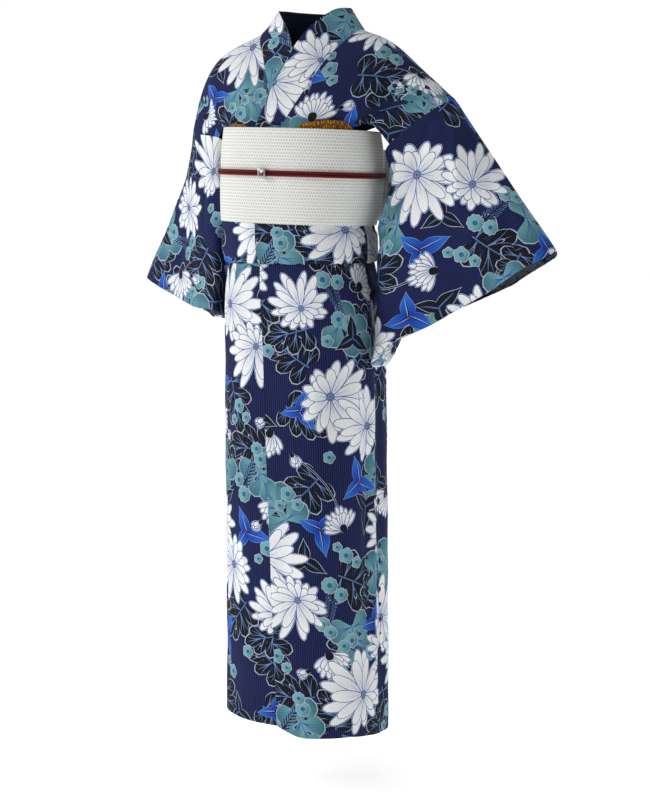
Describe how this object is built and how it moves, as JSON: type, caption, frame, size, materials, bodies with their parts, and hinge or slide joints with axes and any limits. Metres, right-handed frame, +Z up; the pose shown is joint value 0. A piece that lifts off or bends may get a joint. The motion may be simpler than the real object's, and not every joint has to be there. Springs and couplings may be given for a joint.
{
  "type": "yukata robe",
  "caption": "Hollow worn cotton yukata, long sleeves with open cuffs, crossed collar, waist fold, wide sash with bow, flat cord, clasp and scarf.",
  "frame": {"origin": "midway between the two points where the collar meets the shoulder folds, where a wearer or a stand holds the garment", "axes": "+Z up, the front faces -Y, and the side of the wearer's left arm is +X"},
  "size_m": [0.848, 0.3184, 1.3312],
  "materials": {
    "cotton": "matt printed cotton with fine lengthwise ribs",
    "obi_weave": "matt waffle weave",
    "scarf_crepe": "matt crepe",
    "cord_silk": "satin braid",
    "clasp_metal": "satin with glossy facets"
  },
  "bodies": {
    "root": {"left_body": "cotton", "right_body": "cotton", "collar": "cotton", "left_sleeve": "cotton", "right_sleeve": "cotton", "left_front_waist": "cotton", "left_okumi_waist": "cotton", "left_back_waist": "cotton", "right_back_waist": "cotton", "right_front_waist": "cotton", "right_front_under": "cotton", "left_front_skirt": "cotton", "left_okumi_skirt": "cotton", "left_back_skirt": "cotton", "right_back_skirt": "cotton", "right_front_skirt": "cotton", "right_okumi_skirt": "cotton", "obi_wrap": "obi_weave", "bow_left": "obi_weave", "bow_right": "obi_weave", "bow_knot": "obi_weave", "obiage": "scarf_crepe", "obijime": "cord_silk", "obidome": "clasp_metal"}
  },
  "joints": []
}
